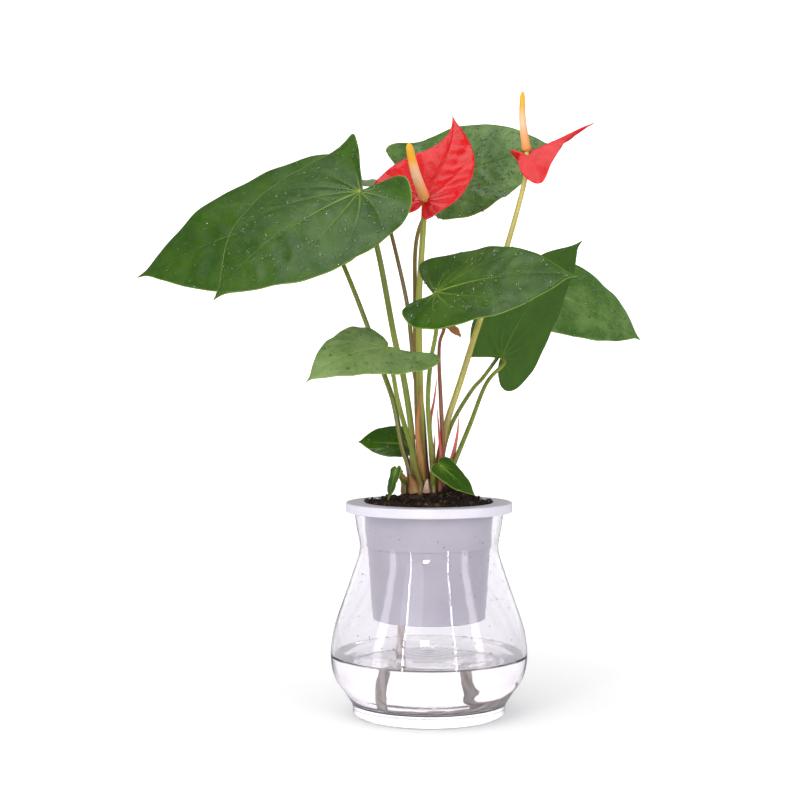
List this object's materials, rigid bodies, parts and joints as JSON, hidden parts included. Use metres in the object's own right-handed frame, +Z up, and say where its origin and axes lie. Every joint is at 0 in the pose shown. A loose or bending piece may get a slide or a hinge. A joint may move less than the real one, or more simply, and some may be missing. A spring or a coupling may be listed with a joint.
{
  "type": "potted anthurium",
  "caption": "Red anthurium in bloom, planted in a white flanged insert pot that hangs in a clear glass self-watering vase, with a cotton wick reaching down into the water.",
  "frame": {"origin": "centre of the vase's flat underside, on the surface that it stands on", "axes": "+Z up along the vase's axis; the front flower and the front leaves are on the -Y side, and the side flower is towards +X"},
  "size_m": [0.3429, 0.2161, 0.391],
  "materials": {
    "glass": "gloss",
    "white_plastic": "satin",
    "soil": "matte",
    "water": "gloss",
    "wick_cotton": "matte",
    "rootstock": "matte",
    "leaf_green": "satin",
    "leaf_pale": "satin",
    "leaf_bronze": "satin",
    "stem_green": "satin",
    "stem_brown": "satin",
    "peduncle": "satin",
    "spathe_red": "satin",
    "spadix_orange": "matte",
    "sheath_red": "satin",
    "sheath_tan": "matte",
    "sheath_dried": "matte"
  },
  "bodies": {
    "root": {"vase": "glass", "insert_pot": "white_plastic", "soil": "soil", "water": "water", "wick": "wick_cotton", "crown": "rootstock", "leaf_front_left": "leaf_green", "leaf_back_left": "leaf_green", "leaf_upper_back": "leaf_green", "leaf_middle_right": "leaf_green", "leaf_lower_right": "leaf_green", "leaf_middle_left": "leaf_pale", "leaf_far_right": "leaf_green", "leaf_low_left": "leaf_pale", "leaf_soil_left": "leaf_green", "leaf_soil_right": "leaf_green", "leaf_behind_flower": "leaf_pale", "leaf_young_bronze": "leaf_bronze", "petiole_back_left": "stem_green", "petiole_front_left": "stem_green", "petiole_middle_left": "stem_green", "petiole_behind_flower": "stem_brown", "petiole_upper_back": "stem_brown", "petiole_middle_right": "stem_green", "petiole_young": "stem_brown", "petiole_lower_right": "stem_green", "petiole_far_right": "stem_green", "petiole_low_left": "stem_green", "petiole_soil_left": "stem_green", "petiole_soil_right": "stem_green", "peduncle_front": "peduncle", "peduncle_right": "peduncle", "spathe_front": "spathe_red", "spathe_right": "spathe_red", "spadix_front": "spadix_orange", "spadix_right": "spadix_orange", "sheath_pink": "sheath_red", "sheath_coral": "sheath_red", "sheath_crimson": "sheath_red", "sheath_tan": "sheath_tan", "sheath_straw": "sheath_tan", "sheath_dried_left": "sheath_dried", "sheath_dried_front": "sheath_dried", "new_shoot": "sheath_red"}
  },
  "joints": []
}
